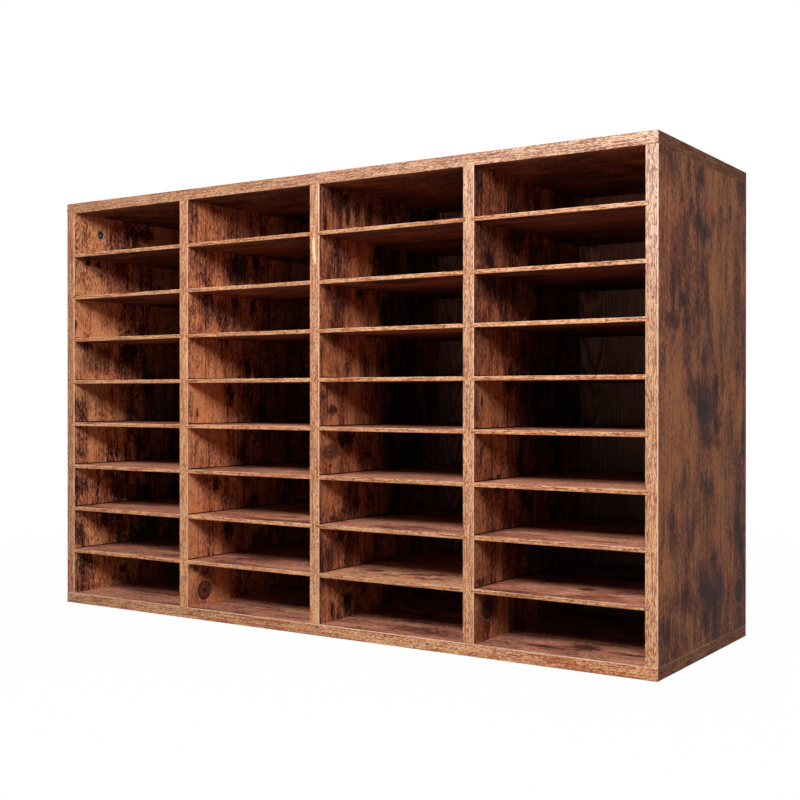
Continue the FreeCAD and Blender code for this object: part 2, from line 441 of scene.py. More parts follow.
def marks_dark(straight, wood, seed, marks):
    """How dark the marks make each point: patches, clouds, strokes, knots and curled figure."""
    torn = noise(straight, (150, 60, 60), seed + 23.9, detail=6, rough=0.7, curl=0.5) - 0.5
    split = noise(straight, (330, 60, 46), seed + 29.3, detail=3, rough=0.65) - 0.5
    haze = noise(straight, (60, 60, 34), seed + 33.1, detail=5, rough=0.6, curl=0.4) - 0.5
    ragged = {
        "patch": torn * 2.4 + split * 1.7,
        "cloud": torn * 1.0 + haze * 2.2 + split * 0.6,
        "stroke": torn * 1.0,
        "knot": torn * 0.5,
        "curl": torn * 0.8,
    }
    if any(mark[0] == "curl" for mark in marks):
        breaks = noise(wood, (330, 60, 110), seed + 41.0, detail=2).fade(0.40, 0.52)
        figure = curled_lines(wood, seed) * breaks
    dark = None
    for kind, centre, reach, strength in marks:
        if kind == "knot":
            spot = knot_spot(straight, ragged[kind], centre, reach)
        else:
            edges = SPOT_EDGES.get(kind, SPOT_EDGES["patch"])
            spot = soft_spot(straight, ragged[kind], centre, reach, edges)
        if kind == "curl":
            spot = spot * figure
        spot = spot * strength
        dark = spot if dark is None else dark.at_least(spot)
    return dark


def laminate_print(wood_axes, seed, tone, palette, marks):
    """The brown printed laminate: colour, roughness and height at each point of a board.

    Each mark is (kind, centre, reach, strength), on the far face, in metres as (across, along).
    """
    look = bpy.context.scene.sorter_laminate
    across, through, along = wood_axes
    through = through - tone["middle"]
    straight = wood_vector(across, through, along)
    knots = [mark for mark in marks if mark[0] == "knot"]
    wood = wood_vector(flow_round(straight, across, knots), through, along) if knots else straight

    rows = LAMINATE_NOISE.values()
    noises = [noise(wood, scale, seed + shift, *form) for scale, shift, *form in rows]
    plank, broad, cloud, streak, grain, dash, pore, grime = noises
    plank = plank.fade(0.46, 0.53)
    dash = dash.fade(0.48, 0.62)
    pore = pore.fade(0.56, 0.68)
    grime = grime.fade(0.66 - 0.16 * tone["distress"], 0.78 - 0.18 * tone["distress"])

    fine = tone["fine"]
    low, high = tone["ends"]
    # The level slopes along the grain by the lift: partly print, partly painted light and shade that
    # evens out how the lamps light the walls from bottom to top.
    level = (along - low) * (tone["lift"] / (high - low)) + (tone["light"] + 0.5)
    if "outer" in tone:
        outside = 1.0 - through.above(0.0)
        level = level + ((tone["outer"] + 0.5) - level) * outside
    light = (plank - 0.5) * 0.14 + (broad - 0.5) * 1.1 + (cloud - 0.5) * 2.1
    light = light + (streak - 0.5) * (0.2 + 1.1 * fine) + (grain - 0.5) * (2.3 * fine)
    light = light * tone["contrast"] + level
    for _, centre, reach, _ in knots:
        near, _ = spot_distance(straight, centre, reach)
        light = light + (level - 0.04 - light) * (near.fade(2.0, 1.1) * 0.8)
    if marks:
        dark = marks_dark(straight, wood, seed, marks) * (cloud - 0.5).between(1.0, 1.8)
        dark = dark.at_most(0.96) * through.above(0.0)
        light = light - dark * 0.6
    stops = list(zip(TONE_PLACES, palette))
    colour = light.node("ShaderNodeValToRGB", {"stops": stops}, {0: light})
    dusk = tuple(channel * share for channel, share in zip(palette[0], (2.6, 2.0, 2.3)))
    colour = mix(dash * broad.fade(0.60, 0.42).between(0.30 * fine, 0.60 * fine), colour, dusk)
    colour = mix(pore * (0.35 * fine), colour, palette[0])
    colour = mix(grime * 0.8, colour, look.smoke)
    if marks:
        colour = mix(dark * dark * 0.9, colour, look.smoke)
    rough = look.gloss + 0.12 * grime + 0.10 * dash
    height = grain * 0.5 - pore * 0.4 - dash * 0.6
    return colour, rough, height


def band_print(wood, along, seed, tone):
    """The lighter edge band: golden tan with rusty clouds and short dark strokes."""
    look = bpy.context.scene.sorter_bands
    gold, rust, fleck = (shaded(tint, tone["share"]) for tint in (look.tan, look.rust, look.fleck))
    cloud = noise(wood, (100, 60, 24), seed, detail=5, rough=0.62, curl=0.5)
    broad = noise(wood, (30, 30, 8), seed + 2.1, detail=2)
    grain = noise(wood, (1000, 200, 250), seed + 4.7, detail=3, rough=0.7)
    dash = noise(wood, (1080, 200, 190), seed + 9.2, detail=2, rough=0.6).fade(0.51, 0.59)
    stroke = noise(wood, (880, 150, 24), seed + 14.6, detail=4, rough=0.65)
    redness = (cloud - 0.5) * 2.2 + (broad - 0.5) * 1.2 + (grain - 0.5) * 4.0 + (stroke - 0.5) * 4.0
    redness = redness + (0.30 + tone["red"])
    colour = mix(redness.fade(0.0, 1.0), gold, rust)
    colour = mix(dash * cloud.fade(0.34, 0.58).between(0.65, 1.0), colour, fleck)
    stroke = stroke.fade(0.54, 0.62)
    colour = mix(stroke * 0.8, colour, fleck)
    # A slope of painted shade and light along the band, evening out how the lamps light it.
    lift = tone.get("lift")
    if lift:
        low, high = tone["ends"]
        drop = (along - low) * (lift / (high - low)) + (1.0 - lift / 2)
        shade = along.node("ShaderNodeCombineColor", None, {0: drop, 1: drop, 2: drop})
        colour = mix(1.0, colour, shade, "MULTIPLY")
    height = grain * 0.4 - dash * 0.7 - stroke * 0.7
    rough = look.gloss + 0.15 * dash + 0.06 * redness
    return colour, rough, height


# ---------------------------------------------------------------------------------------------
# Materials of the sorter's own pieces


# The shares of a row's height between which the painted shadow above a shelf groove fades.
GROOVE_SHADOW_FADE = (0.036, 0.016)


def groove_shade(name, across, through, along, middle):
    """A painted shadow line above each shelf groove, on the faces of an upright that carry grooves.
    """
    top = BOX["shelf_c1_r1"][1]
    pitch = top.z - BOX["shelf_c1_r2"][1].z
    lowest = BOX["shelf_c1_r8"][1].z - pitch / 2
    shadow_line = ((along - top.z) / pitch).fraction().fade(*GROOVE_SHADOW_FADE)
    shadow_line = shadow_line * along.above(lowest) * across.below(top.y)
    if name == "left_side":
        return shadow_line * through.above(middle)
    if name == "right_side":
        return shadow_line * (1.0 - through.above(middle))
    return shadow_line


def board_material(name, axes, seed, tone, palettes, marks):
    """Laminate on both faces of a board, and chipboard where its edges and grooves are cut."""
    look = bpy.context.scene.sorter_laminate
    material, place = new_material(f"laminate_{name}")
    across, through, along = turned(place, axes)
    low, high = extent(BOX[name], axes[1])
    middle = (low + high) / 2
    tone = {**PLAIN_TONE, **tone, "middle": middle, "ends": extent(BOX[name], axes[2])}
    colour, rough, height = laminate_print((across, through, along), seed, tone, palettes[0], marks)
    # The face on the low side of the middle takes the second palette: on the top and bottom panels
    # it is much darker, painted shade on their undersides.
    if len(palettes) > 1:
        share = tuple(under / upper for under, upper in zip(palettes[1][2], palettes[0][2]))
        below = mix(through.above(middle), share, (1.0, 1.0, 1.0))
        colour = mix(1.0, colour, below, "MULTIPLY")
    if axes[2] == "Z":
        # Painted shadow along the top of each shelf groove.
        colour = mix(groove_shade(name, across, through, along, middle), colour, look.umber)
    core = raw_core(through, low, high)
    colour = mix(core, colour, chipboard(wood_vector(across, through, along)))
    rough = rough + core * 0.3
    return finish_material(material, colour, rough, height, look.relief, tone["sheen"])


def band_material(node, name, axes, seed, arris=0.0, chips=()):
    """An edge band, with a pale line (partly a painted highlight) along one rounded edge and chips
    where it is worn through.

    The arris is the line's width, at the high end of the first axis. Each chip is (centre, reach).
    """
    look = bpy.context.scene.sorter_bands
    material, place = new_material(f"band_{name}")
    across, through, along = turned(place, axes)
    wood = wood_vector(across, through, along)
    tone = {**BAND_TONES[name], "ends": extent(BOX[node], axes[2])}
    colour, rough, height = band_print(wood, along, seed, tone)
    # The pale line sits on the edge that faces the lamps: a scraped edge and a painted highlight.
    if arris:
        worn = noise(wood, (300, 300, 60), seed + 21.0, detail=3).fade(0.34, 0.56)
        line = abs(across - extent(BOX[node], axes[0])[1]).fade(arris, arris * 0.45)
        colour = mix(line * worn.between(0.45, 0.95), colour, look.arris_highlight)
    for centre, reach in chips:
        torn = (noise(wood, (300, 200, 120), seed + 27.0, detail=4) - 0.5) * 1.6
        colour = mix(soft_spot(wood, torn, centre, reach) * 0.9, colour, look.bare)
    return finish_material(material, colour, rough, height, look.relief, tone["sheen"])


def shelf_material(name, seed, tone, palette, marks):
    """A shelf: laminate above and below, its banded front, and raw board at its ends and rear."""
    bands = bpy.context.scene.sorter_bands
    material, place = new_material(f"laminate_{name}")
    across, through, along = turned(place, "YZX")
    low, high = BOX[name]
    middle = (low.z + high.z) / 2
    tone = {**PLAIN_TONE, **tone, "middle": middle, "ends": (low.x, high.x)}
    colour, rough, height = laminate_print((across, through, along), seed, tone, palette, marks)
    face = wood_vector(across, through, along)
    streaks = noise(face, (90, 30, 4), seed + 51.0, detail=5, rough=0.6)
    # Painted shade: the underside is darkened by the under shares, with streaks.
    below = mix(streaks.fade(0.40, 0.60), shaded(tone["under"], 0.35), tone["under"])
    below = mix(through.above(middle), below, (1.0, 1.0, 1.0))
    colour = mix(1.0, colour, below, "MULTIPLY")
    wood = wood_vector(through, across, along)
    colour = mix(raw_core(through, low.z, high.z), colour, chipboard(wood))
    fore = across.below(low.y + BAND)
    front_colour, front_rough, front_height = band_print(wood, along, seed + 31.0, tone["front"])
    # A pale line along the front's top arris: a scraped edge and a painted highlight.
    top_highlight = abs(through - high.z).fade(0.8 * MM, 0.3 * MM)
    worn = noise(wood, (300, 300, 45), seed + 37.0, detail=3).fade(0.40, 0.58)
    front_colour = mix(top_highlight * worn * 0.8, front_colour, bands.arris_highlight)
    low_line = abs(through - low.z).fade(1.2 * MM, 0.3 * MM)
    front_colour = mix(low_line * 0.6, front_colour, bands.rust)
    colour = mix(fore, colour, front_colour)
    rough = rough + (front_rough - rough) * fore
    height = height + (front_height * 0.6 - height) * fore
    relief = bpy.context.scene.sorter_laminate.relief
    return finish_material(material, colour, rough, height, relief, tone["sheen"])


# The arches in a back's grain: their sway and their place beside the middle, in metres, the rise of
# the lines along a metre, how steeply they bend down at the sides, their ripple and their number.
ARCH = {"sway": 0.07, "aside": 0.055, "rise": 9.0, "bend": 1500.0, "ripple": 2.2, "lines": 2.3}
# The heights between which painted shade darkens the backs toward the floor.
BACK_PAINTED_SHADE = (0.42, 0.12)


def back_material(name, seed):
    """A back panel: brown grain in tall arches, and plain fibreboard behind and at its edges."""
    look = bpy.context.scene.sorter_backs
    material, place = new_material(f"back_{name[-2:]}")
    across, through, along = turned(place, "XYZ")
    wood = wood_vector(across, through, along)
    low, high = BOX[name]
    sway = noise(wood, (7, 5, 3), seed, detail=2) * ARCH["sway"]
    ripple = noise(wood, (30, 20, 5), seed + 2.0, detail=3) * ARCH["ripple"]
    aside = across - (low.x + high.x) / 2 + sway + ARCH["aside"]
    arch = along * ARCH["rise"] - aside * aside * ARCH["bend"] + ripple
    line = abs((arch * ARCH["lines"]).fraction() - 0.5).fade(0.42, 0.04)
    fibre = noise(wood, (600, 60, 13), seed + 5.0, detail=4, rough=0.65)
    pore = noise(wood, (900, 60, 60), seed + 8.0, detail=2).fade(0.58, 0.68)
    cloud = noise(wood, (12, 12, 4), seed + 12.0, detail=3)
    colour = mix(line.between(0.05, 0.8), look.face, look.grain)
    for share in (fibre.fade(0.62, 0.36) * 0.6, pore * 0.6, cloud.fade(0.46, 0.62) * 0.5):
        colour = mix(share, colour, look.grain)
    # Painted shade: the backs grow darker toward the floor.
    colour = mix(along.fade(*BACK_PAINTED_SHADE) * 0.55, colour, shaded(look.grain, 0.3))
    raw = through.above(low.y + SKIN)
    board = noise(wood, (260, 260, 260), 5.5, detail=5, rough=0.7)
    colour = mix(raw, colour, mix(board.fade(0.35, 0.65), shaded(look.fibre, 0.62), look.fibre))
    rough = look.gloss + raw * 0.25 + pore * 0.08
    height = fibre * 0.4 - pore * 0.5
    return finish_material(material, colour, rough, height, 0.0002, sheen=0.4)


def zinc_material():
    """Die-cast cam nuts: a bright rim and cross on a blackened, grainy face; the bright rim is
    partly a painted highlight.
    """
    look = bpy.context.scene.sorter_fittings
    material, place = new_material("die_cast_zinc")
    low, high = BOX["cam_nuts"]
    radius = (high.z - low.z) / 2
    back, up = turned(place, "YZ")
    aside = abs(back - (low.y + high.y) / 2) - ((high.y - low.y) / 2 - radius)
    aside = abs(aside) / radius
    upward = abs(up - (low.z + high.z) / 2) / radius
    square = aside * aside + upward * upward
    reach = square.math("SQRT", square)
    arm = aside.at_most(upward).fade(0.17, 0.07) * reach.fade(0.70, 0.50)
    grains = noise(place, (900, 900, 900), 1.0, detail=4, rough=0.7)
    stains = noise(place, (260, 260, 260), 6.0, detail=3)
    shine = (grains * 0.6 + stains * 0.4).fade(0.30, 0.60)
    polish_and_highlight = (arm * 0.5).at_least(reach.fade(0.86, 0.95)) * shine.between(0.7, 1.0)
    colour = mix(polish_and_highlight, look.zinc, look.rim)
    rough = grains.between(0.35, 0.65)
    return finish_material(material, colour, rough, grains, 0.0002, metallic=0.35)


def steel_material():
    """Zinc-plated steel with fine turning marks and faint yellow stains."""
    look = bpy.context.scene.sorter_fittings
    material, place = new_material("plated_steel_turned")
    marks = noise(place, (200, 200, 2600), 2.0, detail=3)
    stains = noise(place, (120, 120, 120), 9.0, detail=3).fade(0.45, 0.65)
    warm = tuple(channel * tint for channel, tint in zip(look.steel, (0.95, 0.86, 0.66)))
    colour = mix(stains * 0.5, look.steel, warm)
    rough = marks.between(0.22, 0.42)
    return finish_material(material, colour, rough, marks, 0.00008, metallic=1.0)


def beech_material():
    """Beech dowels: pale wood with short darker rays along the dowel."""
    look = bpy.context.scene.sorter_fittings
    material, place = new_material("beech_dowel")
    grain = noise(place, (500, 500, 40), 3.0, detail=4, rough=0.6)
    rays = noise(place, (1500, 1500, 300), 7.0, detail=2).fade(0.60, 0.70)
    colour = mix(grain.fade(0.36, 0.66), shaded(look.beech, 0.62), look.beech)
    colour = mix(rays * 0.5, colour, shaded(look.beech, 0.4))
    rough = grain.between(0.55, 0.75)
    return finish_material(material, colour, rough, grain, 0.00015)


def wear(node, material):
    """Puts a material on every slot of a node."""
    mesh = NODES[node].data
    if not mesh.materials:
        mesh.materials.append(material)
    for index in range(len(mesh.materials)):
        mesh.materials[index] = material


# ---------------------------------------------------------------------------------------------
# Where the print shows its seams, knots and patches, and painted shade deep in the compartments


def placed(start, kinds):
    """Marks of each kind in metres: (kind, centre, reach, strength), each place (across, along)."""
    return [
        (kind, (FRONT + back * MM, start + on * MM), (half_back * MM, half_on * MM), strength)
        for kind, marks in kinds.items()
        for back, on, half_back, half_on, strength in marks
    ]


def on_upright(lift=0, **kinds):
    """Marks as (back from the front edge, up, half back, half up, strength), in millimetres."""
    return placed(lift * MM, kinds)


def on_shelf(column, **kinds):
    """Marks as (back from the front edge, right of the column's wall, half of each, strength)."""
    return placed(BOX[f"shelf_c{column}_r1"][0].x, kinds)


def planked_print(lift):
    """The planked print of two dividers, which differ in how high they were cut from the sheet."""
    return on_upright(
        lift,
        stroke=[
            (40, 470, 0.9, 180, 0.75), (39, 200, 0.7, 130, 0.45), (84, 370, 1.2, 60, 0.85),
            (8, 560, 0.8, 60, 0.6), (128, 215, 2.2, 75, 0.85), (55, 330, 0.7, 45, 0.5),
        ],
        # The first cloud is painted shade: it darkens the rear of the wall deep in each compartment.
        cloud=[(215, 300, 80, 240, 0.5), (40, 232, 44, 34, 0.25), (60, 458, 60, 24, 0.45)],
        patch=[
            (118, 530, 26, 28, 0.85), (158, 548, 13, 14, 0.8), (150, 474, 9, 17, 0.95),
            (41, 487, 11, 10, 0.75), (108, 478, 12, 10, 0.6), (136, 374, 7, 15, 0.95),
            (97, 333, 10, 20, 0.95), (170, 305, 16, 22, 0.8), (21, 304, 3, 12, 0.8),
            (65, 197, 11, 12, 0.95), (45, 203, 12, 4, 0.7), (92, 124, 12, 14, 0.85),
            (15, 73, 14, 6, 0.6), (150, 165, 20, 14, 0.8), (165, 100, 30, 24, 0.7),
        ],
        knot=[(37, 37, 14, 13.5, 1.0)],
    )


LEFT_SIDE_MARKS = on_upright(
    # The first cloud is painted shade: it darkens the rear of the wall deep in each compartment.
    cloud=[
        (205, 330, 92, 250, 0.5), (44, 392, 60, 28, 0.75), (122, 406, 14, 30, 0.9),
        (62, 398, 34, 22, 0.75), (22, 372, 30, 16, 0.45), (22, 318, 36, 24, 0.6),
        (22, 412, 40, 9, 0.8), (12, 522, 20, 14, 0.3), (14, 50, 26, 28, 0.2),
    ],
    curl=[(16, 596, 24, 30, 0.95), (12, 545, 16, 14, 0.7), (14, 392, 22, 26, 0.55)],
    patch=[
        (29, 548, 7, 6, 0.9), (51, 547, 5, 6, 0.85), (115, 600, 5, 7, 0.8), (132, 596, 8, 30, 0.85),
        (158, 608, 22, 16, 0.9), (152, 478, 4, 14, 0.9), (118, 439, 10, 5, 0.9),
        (108, 402, 12, 20, 0.95), (3, 445, 4, 14, 0.8), (80, 246, 3, 14, 0.9),
        (91, 239, 2.2, 12, 0.9), (65, 131, 8, 13, 0.9), (100, 131, 5, 4, 0.9),
        (12, 110, 14, 18, 0.7), (10, 190, 16, 18, 0.5), (150, 250, 16, 20, 0.75),
        (152, 170, 24, 20, 0.8), (22, 60, 16, 12, 0.5), (105, 42, 9, 7, 0.8),
    ],
)

MIDDLE_DIVIDER_MARKS = on_upright(
    # The first cloud is painted shade: it darkens the rear of the wall deep in each compartment.
    cloud=[
        (215, 330, 80, 260, 0.5), (34, 400, 46, 110, 0.25), (30, 600, 50, 24, 0.3),
        (40, 250, 30, 36, 0.3),
    ],
    stroke=[(11, 560, 0.9, 70, 0.8)],
    patch=[
        (60, 609, 8, 9, 0.8), (66, 590, 6, 14, 0.7), (92, 600, 7, 14, 0.7), (120, 596, 10, 22, 0.6),
        (15, 572, 5, 14, 0.7), (149, 538, 9, 24, 0.8), (96, 480, 9, 8, 0.8), (45, 520, 7, 20, 0.5),
        (160, 455, 14, 30, 0.7), (156, 385, 6, 16, 0.85), (32, 312, 12, 9, 0.9),
        (62, 271, 20, 11, 0.85), (26, 234, 4, 4, 0.85), (117, 246, 10, 6, 0.8),
        (30, 160, 10, 4, 0.6), (54, 136, 10, 9, 0.8), (90, 180, 8, 22, 0.5), (30, 33, 5, 11, 0.85),
        (66, 38, 9, 14, 0.85),
    ],
    curl=[(168, 598, 22, 24, 0.8), (27, 162, 22, 15, 0.95)],
    knot=[(25, 253, 15, 8, 0.5)],
)

RIGHT_SIDE_MARKS = on_upright(
    cloud=[
        (145, 606, 13, 14, 0.63), (112, 562, 9, 15, 0.45), (128, 548, 24, 11, 0.60),
        (160, 541, 22, 10, 0.60), (190, 557, 7, 10, 0.63), (220, 575, 5, 5, 0.60),
        (257, 577, 9, 17, 0.71), (305, 617, 19, 26, 0.60), (302, 540, 17, 26, 0.37),
        (78, 573, 6, 14, 0.45), (82, 515, 9, 38, 0.30), (149, 484, 10, 12, 0.71),
        (81, 450, 7, 8, 0.71), (95, 423, 6, 5, 0.60), (42, 423, 27, 10, 0.56),
        (131, 449, 11, 3, 0.52), (127, 405, 13, 22, 0.37), (155, 380, 13, 14, 0.52),
        (135, 336, 52, 24, 0.56), (170, 316, 48, 20, 0.52), (199, 342, 11, 17, 0.63),
        (208, 294, 15, 22, 0.63), (170, 277, 22, 15, 0.56), (206, 270, 16, 9, 0.63),
        (79, 222, 14, 24, 0.45), (38, 181, 14, 19, 0.48), (147, 224, 8, 14, 0.45),
        (172, 219, 15, 12, 0.37), (292, 152, 10, 16, 0.71), (305, 124, 10, 12, 0.63),
        (262, 146, 16, 11, 0.45), (188, 122, 14, 13, 0.60), (144, 98, 32, 26, 0.60),
        (88, 86, 38, 18, 0.56), (184, 74, 19, 18, 0.63), (164, 45, 16, 20, 0.52),
        (20, 52, 17, 17, 0.41), (240, 492, 11, 32, 0.41), (315, 385, 8, 34, 0.52),
        (313, 262, 10, 24, 0.45),
    ],
    knot=[(295, 67, 15, 15, 0.85)],
)

# For each upright: the seed and tone of its print, how light its palette is (the second share is for
# the other face), and its marks.
UPRIGHT_LOOKS = {
    "left_side": (
        4.0,
        dict(light=0.05, lift=0.34, distress=0.1, contrast=1.3, outer=-0.02),
        (1.30, 0.95),
        LEFT_SIDE_MARKS,
    ),
    "divider_1": (
        11.0,
        dict(light=0.32, lift=-0.15, distress=0.2, contrast=1.15),
        (1.15,),
        planked_print(0),
    ),
    "divider_2": (
        19.0,
        dict(light=0.10, lift=-0.16, distress=0.3, fine=0.8, contrast=1.1),
        (0.95,),
        MIDDLE_DIVIDER_MARKS,
    ),
    "divider_3": (11.0, dict(light=0.11, lift=-0.14, distress=0.3), (0.85,), planked_print(20)),
    "right_side": (
        37.0,
        dict(light=0.07, lift=0.06, distress=0.15, fine=0.9, contrast=0.95, sheen=0.035),
        (1.02,),
        RIGHT_SIDE_MARKS,
    ),
}

# The shares and slopes of the bands are partly print, partly painted shade and light: darker on the
# top band and toward the top of the uprights, where the lamps light the front most, lighter on the
# bottom band.
BAND_TONES = {
    "left_side": dict(share=0.93, red=0.28, sheen=0.25, lift=-0.24),
    "divider_1": dict(share=1.11, red=0.08, sheen=0.3, lift=-0.30),
    "divider_2": dict(share=1.02, red=0.05, sheen=0.35, lift=-0.30),
    "divider_3": dict(share=0.94, red=0.0, sheen=0.4, lift=-0.36),
    "right_side": dict(share=0.87, red=0.0, sheen=0.55, lift=-0.64),
    "top_panel": dict(share=0.72, red=0.05, sheen=0.45, lift=-0.16),
    "bottom_panel": dict(share=1.08, red=0.12, sheen=0.3, lift=0.18),
    "top_end_bands": dict(share=0.82, red=0.6, sheen=0.02),
    "bottom_end_bands": dict(share=1.10, red=0.6, sheen=0.02),
}

# Where the middle divider's band is worn through: (centre, reach), in metres.
MIDDLE_BAND_CHIPS = [((-0.001, 0.537), (0.0023, 0.019)), ((0.001, 0.522), (0.0016, 0.009))]

SHELF_MARKS = {
    "shelf_c3_r8": on_shelf(
        3,
        curl=[(62, 110, 46, 100, 0.9)],
        knot=[(64, 52, 10, 15, 1.0), (66, 128, 8, 17, 1.0)],
        patch=[
            (58, 110, 5, 12, 0.9), (80, 92, 4, 14, 0.7), (48, 172, 5, 22, 0.6),
            (36, 150, 3, 16, 0.7), (78, 150, 5, 12, 0.8),
        ],
    ),
    "shelf_c4_r8": on_shelf(
        4,
        patch=[(76, 124, 9, 11, 1.0), (60, 96, 5, 18, 0.5), (40, 170, 5, 22, 0.5)],
    ),
    "shelf_c4_r7": on_shelf(4, patch=[(30, 170, 6, 20, 0.6), (52, 60, 5, 24, 0.5)]),
    "shelf_c2_r7": on_shelf(2, patch=[(62, 150, 8, 20, 0.6)]),
}

BOTTOM_MARKS = (
    on_shelf(1, patch=[(50, 120, 6, 30, 0.5)])
    + on_shelf(2, patch=[(66, 90, 5, 24, 0.6), (44, 170, 4, 22, 0.6)])
    + on_shelf(3, patch=[(58, 110, 6, 34, 0.5)])
    + on_shelf(4, patch=[(62, 128, 16, 22, 0.75), (40, 80, 6, 30, 0.5), (50, 190, 8, 24, 0.5)])
)

# How much lighter or darker the low shelves are printed: for each row, its four columns. Partly
# print, partly painted light where the lamps reach the low shelves weakly.
SHELF_LIGHTS = {
    6: (0.20, 0.16, 0.19, 0.30),
    7: (0.0, 0.16, 0.23, 0.09),
    8: (0.0, -0.02, 0.26, -0.04),
}
WARM_SHELVES = ("shelf_c3_r8", "shelf_c2_r7")
# The share of each colour that a shelf's underside keeps, for each column: painted shade under the
# shelves, darkest in the right column.
UNDER_PAINTED_SHADE = ((0.42, 0.36, 0.32), (0.50, 0.42, 0.35), (0.50, 0.42, 0.35), (0.27, 0.23, 0.20))


def front_share(column, row):
    """How light a shelf's band is: paler toward the middle rows, and low down at the left, partly
    painted light where the lamps are weaker.
    """
    below = max(row - 4, 0) * (0.04 if column < 3 else -0.025)
    return 0.92 + 0.057 * min(row - 1, 3) + below


def shelf_look(name):
    """The seed and tone of a shelf's print."""
    column, row = int(name[7]), int(name[10])
    dice = random.Random(name)
    lights = SHELF_LIGHTS.get(row, (0.0, 0.0, 0.0, 0.0))
    tone = {
        "light": dice.uniform(-0.04, 0.10) + lights[column - 1],
        "distress": dice.uniform(0.1, 0.35),
        "sheen": 0.12,
        "under": UNDER_PAINTED_SHADE[column - 1],
        "front": {
            "share": dice.uniform(0.97, 1.03) * front_share(column, row),
            "red": dice.uniform(-0.05, 0.1),
        },
    }
    return dice.uniform(60.0, 160.0), tone


# ---------------------------------------------------------------------------------------------
# Operators, one for each group of like pieces


class SORTER_OT_uprights(bpy.types.Operator):
    """Dress the two sides and the three dividers in laminate with its grain upright"""

    bl_idname = "sorter.dress_uprights"
    bl_label = "Dress Uprights"

    def execute(self, context):
        look = context.scene.sorter_laminate
        for name in UPRIGHTS:
            seed, tone, shares, marks = UPRIGHT_LOOKS[name]
            palettes = [board_palette(look, share) for share in shares]
            wear(name, board_material(name, "YXZ", seed, tone, palettes, marks))
        return {"FINISHED"}


class SORTER_OT_panels(bpy.types.Operator):
    """Dress the top and bottom panels in laminate with its grain along the width"""

    bl_idname = "sorter.dress_panels"
    bl_label = "Dress Panels"

    def execute(self, context):
        look = context.scene.sorter_laminate
        top, bottom = board_palette(look, 0.8), shelf_palette(look, 0.9)
        for name, seed, light, upper, marks in (
            ("top_panel", 51.0, 0.0, top, ()),
            ("bottom_panel", 57.0, 0.15, bottom, BOTTOM_MARKS),
        ):
            # The second palette, at under half the light, is painted shade on the panels'
            # undersides.
            palettes = [upper, board_palette(look, 0.46)]
            wear(name, board_material(name, "YZX", seed, {"light": light}, palettes, marks))
        return {"FINISHED"}


class SORTER_OT_shelves(bpy.types.Operator):
    """Dress the thin loose shelves, each with its own print and banded front"""

    bl_idname = "sorter.dress_shelves"
    bl_label = "Dress Shelves"

    def execute(self, context):
        look = context.scene.sorter_laminate
        for name in SHELVES:
            seed, tone = shelf_look(name)
            palette = warm_palette(look) if name in WARM_SHELVES else shelf_palette(look)
            wear(name, shelf_material(name, seed, tone, palette, SHELF_MARKS.get(name, ())))
        return {"FINISHED"}


class SORTER_OT_bands(bpy.types.Operator):
    """Dress the edge bands on the fronts and on the ends of the panels"""

    bl_idname = "sorter.dress_bands"
    bl_label = "Dress Edge Bands"

    def execute(self, context):
        for index, name in enumerate(UPRIGHTS):
            node = f"{name}_front_band"
            chips = MIDDLE_BAND_CHIPS if name == "divider_2" else ()
            wear(node, band_material(node, name, "XYZ", 5.0 + 7.7 * index, 1.3 * MM, chips))
        for node, name, axes, seed, arris in (
            ("top_front_band", "top_panel", "ZYX", 47.0, 0.0),
            ("bottom_front_band", "bottom_panel", "ZYX", 53.1, 1.1 * MM),
            ("top_end_bands", "top_end_bands", "ZXY", 71.0, 0.0),
            ("bottom_end_bands", "bottom_end_bands", "ZXY", 76.3, 1.1 * MM),
        ):
            wear(node, band_material(node, name, axes, seed, arris))
        return {"FINISHED"}


class SORTER_OT_backs(bpy.types.Operator):
    """Dress the thin back panels with grain in tall arches"""

    bl_idname = "sorter.dress_backs"
    bl_label = "Dress Back Panels"

    def execute(self, context):
        for index, name in enumerate(BACKS):
            wear(name, back_material(name, 3.0 + 8.9 * index))
        return {"FINISHED"}


class SORTER_OT_fittings(bpy.types.Operator):
    """Dress the cam nuts, the cam bolts, the screws and the dowels"""

    bl_idname = "sorter.dress_fittings"
    bl_label = "Dress Fittings"

    def execute(self, context):
        steel = steel_material()
        wear("cam_nuts", zinc_material())
        wear("cam_bolts", steel)
        wear("bottom_screws", steel)
        wear("wooden_dowels", beech_material())
        return {"FINISHED"}


def soft_lamp(name, place, size, power, turn=0.0):
    """An upright soft lamp that the camera doesn't see. It faces +Y unless it is turned."""
    light = bpy.data.lights.new(name, "AREA")
    light.shape = "RECTANGLE"
    light.size, light.size_y = size
    light.energy = power
    lamp = bpy.data.objects.new(name, light)
    bpy.context.scene.collection.objects.link(lamp)
    lamp.location = place
    lamp.rotation_euler = (math.pi / 2, 0.0, turn)
    lamp.visible_camera = False
    return lamp


def backdrop_rays(host):
    """One for what the camera, reflections and glass see, nothing for what lights the sorter."""
    ray = host.node("ShaderNodeLightPath", output="Is Camera Ray")
    return ray.at_least(ray.output("Is Glossy Ray")).at_least(ray.output("Is Transmission Ray"))


def white_surroundings(studio):
    """A world that is white to the camera and in reflections, and dim as a light."""
    world = bpy.data.worlds.new("surroundings")
    world.use_nodes = True
    bpy.context.scene.world = world
    tree = world.node_tree
    dim = tree.nodes["Background"]
    fill_sockets(dim, {"Color": (1, 1, 1, 1), "Strength": studio.glow})
    light = Wire(dim.outputs[0])
    white = light.node("ShaderNodeBackground", None, {"Color": (1, 1, 1, 1), "Strength": 1.0})
    both = light.node("ShaderNodeMixShader", None, {0: backdrop_rays(light), 1: light, 2: white})
    fill_sockets(tree.nodes["World Output"], {"Surface": both})


